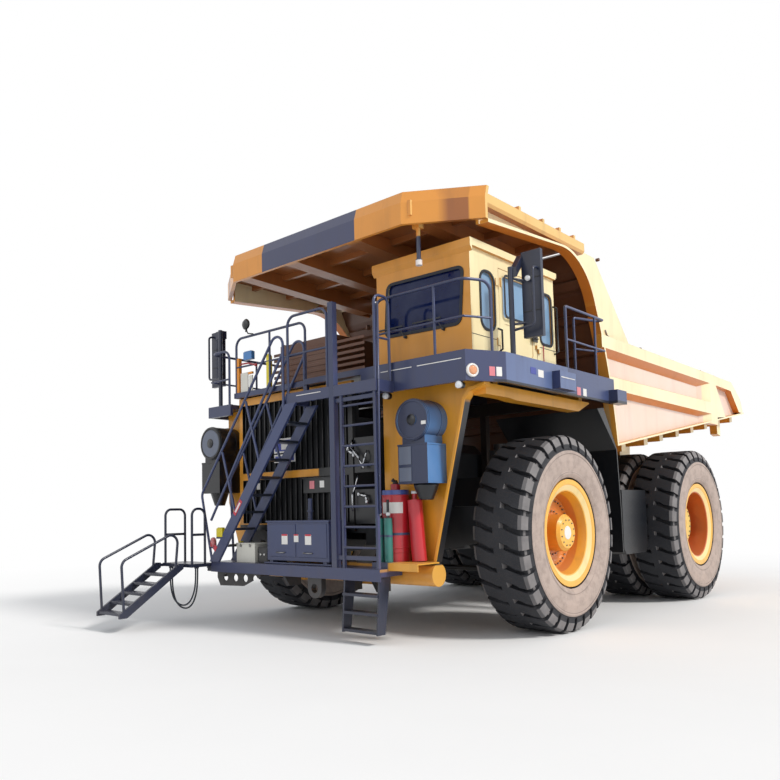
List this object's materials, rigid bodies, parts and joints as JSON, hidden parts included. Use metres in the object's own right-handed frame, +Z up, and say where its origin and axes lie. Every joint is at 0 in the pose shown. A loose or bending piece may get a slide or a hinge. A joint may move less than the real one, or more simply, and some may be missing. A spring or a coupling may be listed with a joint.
{
  "type": "mining dump truck",
  "caption": "Rigid two-axle mining dump truck with twin rear wheels, tipping bed with cab canopy, left-hand cab, front stairs and deck rails.",
  "frame": {"origin": "on the ground under the middle of the overall length and width", "axes": "+X forward, +Y to the truck's left, +Z up; the wheels spin about +Y"},
  "size_m": [13.975, 6.69, 6.4698],
  "materials": {
    "yellow_paint": "construction yellow enamel, sun-bleached",
    "navy_paint": "slate navy enamel",
    "black_paint": "matt black enamel",
    "brown_paint": "dusty dark paint",
    "slate_paint": "slate blue enamel",
    "red_paint": "gloss red enamel",
    "pale_paint": "cream enamel",
    "frame_steel": "painted cast steel",
    "rod_chrome": "hard chrome",
    "tyre_rubber": "dusty tyre rubber",
    "hose_rubber": "black hose",
    "window_glass": "tinted glass",
    "seat_cloth": "dark seat cloth",
    "trim_plastic": "moulded trim"
  },
  "bodies": {
    "chassis": {"main_frame": "yellow_paint", "front_struts": "rod_chrome", "rear_axle": "frame_steel", "rear_struts": "rod_chrome", "engine_block": "frame_steel", "radiator": "black_paint", "grille": "yellow_paint", "fuel_tank": "black_paint", "hydraulic_tank": "black_paint", "front_platform": "navy_paint", "diagonal_stairs": "navy_paint", "front_ladder": "navy_paint", "hanging_steps": "navy_paint", "platform_cabinet": "slate_paint", "battery_box": "pale_paint", "fire_tanks": "red_paint", "air_cleaner_left": "slate_paint", "air_cleaner_right": "black_paint", "deck": "navy_paint", "fender_supports": "yellow_paint", "splash_panels": "black_paint", "handrails": "navy_paint", "grid_box": "brown_paint", "mirrors": "black_paint", "cab_shell": "yellow_paint", "cab_glass": "window_glass", "driver_seat": "seat_cloth", "cab_console": "trim_plastic", "boarding_landing": "navy_paint", "stair_hose_outer": "hose_rubber", "stair_hose_inner": "hose_rubber"},
    "knuckle_left": {"knuckle_left": "frame_steel"},
    "knuckle_right": {"knuckle_right": "frame_steel"},
    "tie_rod": {"tie_rod": "frame_steel"},
    "wheel_front_left": {"tyre_front_left": "tyre_rubber", "rim_front_left": "yellow_paint"},
    "wheel_front_right": {"tyre_front_right": "tyre_rubber", "rim_front_right": "yellow_paint"},
    "wheels_rear_left": {"tyres_rear_left": "tyre_rubber", "rims_rear_left": "yellow_paint"},
    "wheels_rear_right": {"tyres_rear_right": "tyre_rubber", "rims_rear_right": "yellow_paint"},
    "door": {"cab_door": "yellow_paint", "door_glass": "window_glass"},
    "bed": {"bed_floor": "yellow_paint", "bed_sides": "yellow_paint", "bed_headboard": "yellow_paint", "bed_canopy": "yellow_paint"},
    "hoist_barrels": {"hoist_barrels": "black_paint"},
    "hoist_stages": {"hoist_stages": "rod_chrome"},
    "hoist_rods": {"hoist_rods": "rod_chrome"},
    "boarding_stairs": {"boarding_stairs": "navy_paint"}
  },
  "joints": [
    {"name": "steer_left", "type": "hinge", "parent": "chassis", "child": "knuckle_left", "pos_m": [2.562, 1.8, 1.51], "axis": [0, 0, 1], "range_deg": [-35, 35]},
    {"name": "steer_right", "type": "hinge", "parent": "chassis", "child": "knuckle_right", "pos_m": [2.562, -1.8, 1.51], "axis": [0, 0, 1], "range_deg": [-35, 35]},
    {"name": "tie_rod_swing", "type": "hinge", "parent": "knuckle_left", "child": "tie_rod", "pos_m": [2.112, 1.8, 0.87], "axis": [0, 0, 1], "range_deg": [-35, 35]},
    {"name": "spin_front_left", "type": "hinge", "parent": "knuckle_left", "child": "wheel_front_left", "pos_m": [2.562, 2.578, 1.51], "axis": [0, 1, 0], "continuous": true},
    {"name": "spin_front_right", "type": "hinge", "parent": "knuckle_right", "child": "wheel_front_right", "pos_m": [2.562, -2.578, 1.51], "axis": [0, 1, 0], "continuous": true},
    {"name": "spin_rear_left", "type": "hinge", "parent": "chassis", "child": "wheels_rear_left", "pos_m": [-2.928, 2.11, 1.51], "axis": [0, 1, 0], "continuous": true},
    {"name": "spin_rear_right", "type": "hinge", "parent": "chassis", "child": "wheels_rear_right", "pos_m": [-2.928, -2.11, 1.51], "axis": [0, 1, 0], "continuous": true},
    {"name": "bed_tip", "type": "hinge", "parent": "chassis", "child": "bed", "pos_m": [-4.338, 0, 2.5], "axis": [0, -1, 0], "range_deg": [0, 45]},
    {"name": "hoist_swing", "type": "hinge", "parent": "chassis", "child": "hoist_barrels", "pos_m": [-0.938, 0, 1.15], "axis": [0, -1, 0], "range_deg": [0, 20]},
    {"name": "hoist_stage_slide", "type": "slide", "parent": "hoist_barrels", "child": "hoist_stages", "axis": [0.0555, 0, 0.9985], "range_m": [0, 1.263]},
    {"name": "hoist_rod_slide", "type": "slide", "parent": "hoist_stages", "child": "hoist_rods", "axis": [0.0555, 0, 0.9985], "range_m": [0, 1.263]},
    {"name": "cab_door_swing", "type": "hinge", "parent": "chassis", "child": "door", "pos_m": [2.647, 2.608, 4.8], "axis": [0, 0, 1], "range_deg": [0, 80]},
    {"name": "boarding_stairs_lift", "type": "hinge", "parent": "chassis", "child": "boarding_stairs", "pos_m": [5.777, -2.98, 1.01], "axis": [0, -1, 0], "range_deg": [0, 75]}
  ],
  "couplings": [
    {"joint": "steer_right", "follows": "steer_left", "ratio": 1},
    {"joint": "tie_rod_swing", "follows": "steer_left", "ratio": -1},
    {"joint": "hoist_swing", "follows": "bed_tip", "ratio": 0.4418},
    {"joint": "hoist_stage_slide", "follows": "bed_tip", "m_per_rad": 1.6061},
    {"joint": "hoist_rod_slide", "follows": "bed_tip", "m_per_rad": 1.6061}
  ]
}
